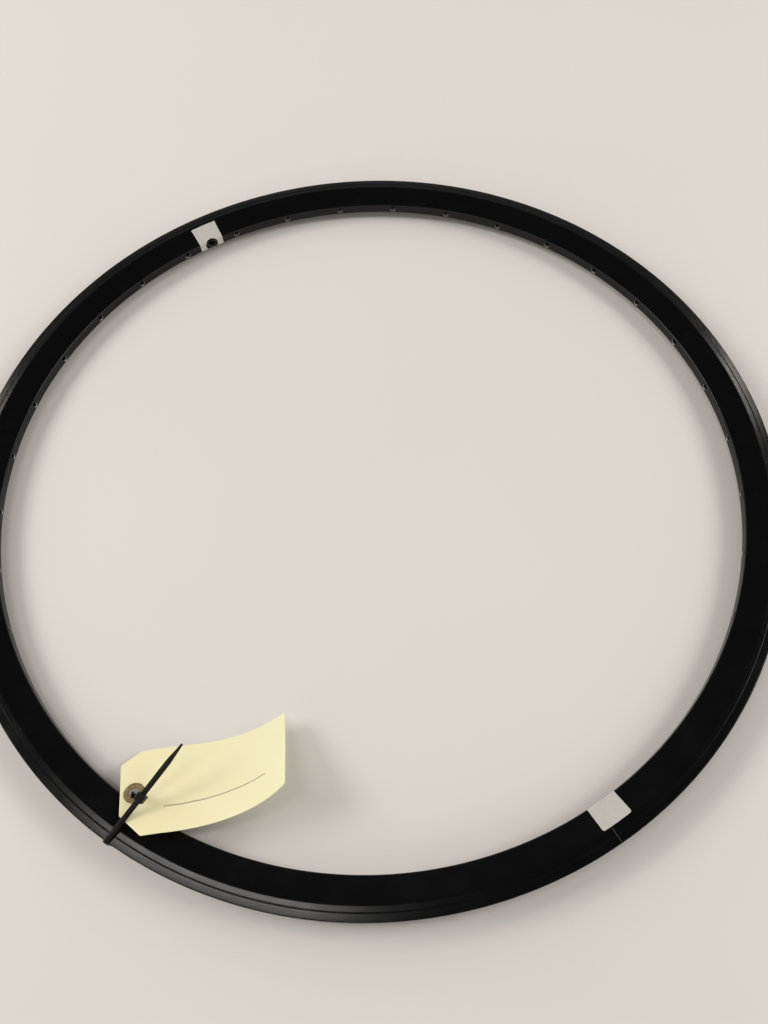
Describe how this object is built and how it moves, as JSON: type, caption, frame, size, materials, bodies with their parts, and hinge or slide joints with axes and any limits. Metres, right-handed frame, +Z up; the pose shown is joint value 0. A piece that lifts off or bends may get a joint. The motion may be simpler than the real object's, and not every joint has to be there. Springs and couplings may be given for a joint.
{
  "type": "bicycle rim",
  "caption": "Hollow-section bicycle rim for rim brakes, with hooked flanges, a drilled spoke bed, blank labels and a card tag held on by a cable tie",
  "frame": {"origin": "on the wheel axis, at the surface that the part lies on", "axes": "+Z up along the wheel axis, +Y through the valve hole, -Y through the butt seam"},
  "size_m": [0.633, 0.633, 0.0443],
  "materials": {
    "rim": "satin black anodised",
    "sleeve": "bare",
    "label": "white film",
    "tie": "black nylon",
    "card": "pale yellow card",
    "fibre": "brown fibre board"
  },
  "bodies": {
    "root": {"rim_hoop": "rim", "joint_sleeve": "sleeve", "valve_label": "label", "seam_label": "label", "cable_tie": "tie", "tag_card": "card", "tag_patch": "fibre"}
  },
  "joints": []
}
